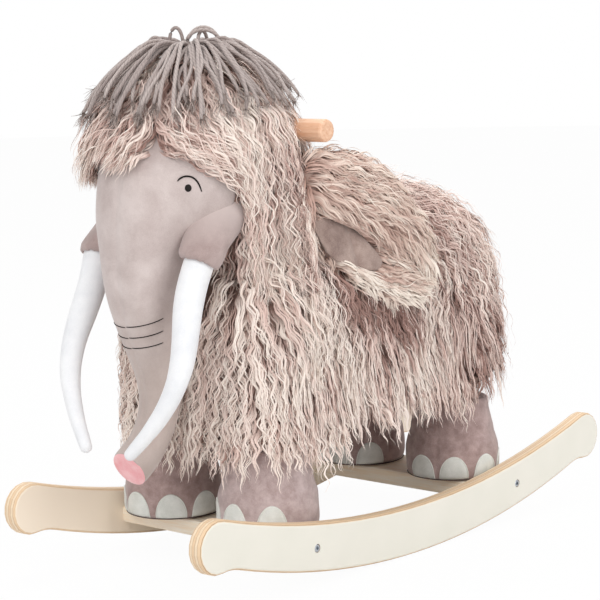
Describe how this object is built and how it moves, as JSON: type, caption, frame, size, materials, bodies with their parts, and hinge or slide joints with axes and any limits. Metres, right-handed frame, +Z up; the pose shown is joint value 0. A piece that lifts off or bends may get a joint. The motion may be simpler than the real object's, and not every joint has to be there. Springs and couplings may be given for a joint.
{
  "type": "rocking mammoth ride-on toy",
  "caption": "Shaggy stuffed rocking mammoth with white tusks, a hanging trunk, floppy ears and a dowel handle, on a wooden frame with curved plywood rockers.",
  "frame": {"origin": "on the floor, under the middle of the two rockers", "axes": "+Z up, -Y towards the mammoth's face, +X towards the mammoth's left side"},
  "size_m": [0.3, 0.7398, 0.6],
  "materials": {
    "painted_ply": "satin cream paint on the faces, clear lacquered ply edges",
    "beech": "satin clear lacquer",
    "hidden_wood": "plain sanded wood",
    "steel": "zinc plated",
    "leg_velour": "short-pile mauve grey velour",
    "face_velour": "short-pile beige grey velour",
    "fur": "long wavy shaggy pile",
    "filling": "loose polyester stuffing",
    "lining_velour": "short-pile mauve grey velour",
    "white_plush": "smooth white plush",
    "pink_felt": "matt felt",
    "yarn": "soft twisted yarn"
  },
  "bodies": {
    "mammoth_on_rockers": {"rocker_left": "painted_ply", "rocker_right": "painted_ply", "front_slat": "beech", "rear_slat": "beech", "handle": "beech", "rocker_bolt_front_left": "steel", "barrel_nut_front_left": "steel", "slat_pin_front_left": "hidden_wood", "leg_post_front_left": "hidden_wood", "post_screw_front_left": "steel", "board_screw_front_left": "steel", "leg_front_left": "leg_velour", "rocker_bolt_front_right": "steel", "barrel_nut_front_right": "steel", "slat_pin_front_right": "hidden_wood", "leg_post_front_right": "hidden_wood", "post_screw_front_right": "steel", "board_screw_front_right": "steel", "leg_front_right": "leg_velour", "rocker_bolt_rear_left": "steel", "barrel_nut_rear_left": "steel", "slat_pin_rear_left": "hidden_wood", "leg_post_rear_left": "hidden_wood", "post_screw_rear_left": "steel", "board_screw_rear_left": "steel", "leg_rear_left": "leg_velour", "rocker_bolt_rear_right": "steel", "barrel_nut_rear_right": "steel", "slat_pin_rear_right": "hidden_wood", "leg_post_rear_right": "hidden_wood", "post_screw_rear_right": "steel", "board_screw_rear_right": "steel", "leg_rear_right": "leg_velour", "seat_board": "hidden_wood", "neck_post": "hidden_wood", "neck_screw_front": "steel", "neck_screw_rear": "steel", "handle_screw": "steel", "torso_filling": "filling", "head_filling": "filling", "torso_fur_cover": "fur", "head_fur_cover": "fur", "belly_panel": "leg_velour", "face": "face_velour", "cheek_left": "face_velour", "cheek_right": "face_velour", "tusk_left": "white_plush", "tusk_right": "white_plush", "forelock": "yarn"},
    "ear_left": {"ear_left": "fur", "ear_lining_left": "lining_velour"},
    "ear_right": {"ear_right": "fur", "ear_lining_right": "lining_velour"},
    "trunk": {"trunk_lower": "face_velour", "trunk_tip_disc": "pink_felt"},
    "tail": {"tail": "leg_velour"}
  },
  "joints": [
    {"name": "ear_left_fold", "type": "hinge", "parent": "mammoth_on_rockers", "child": "ear_left", "pos_m": [0.1145, -0.15, 0.452], "axis": [0, -1, 0], "range_deg": [0, 70]},
    {"name": "ear_right_fold", "type": "hinge", "parent": "mammoth_on_rockers", "child": "ear_right", "pos_m": [-0.1145, -0.15, 0.452], "axis": [0, 1, 0], "range_deg": [0, 70]},
    {"name": "trunk_curl", "type": "hinge", "parent": "mammoth_on_rockers", "child": "trunk", "pos_m": [0, -0.273, 0.25], "axis": [-1, 0, 0], "range_deg": [0, 25]},
    {"name": "tail_swing", "type": "hinge", "parent": "mammoth_on_rockers", "child": "tail", "pos_m": [0, 0.27416, 0.345], "axis": [1, 0, 0], "range_deg": [0, 50]}
  ]
}
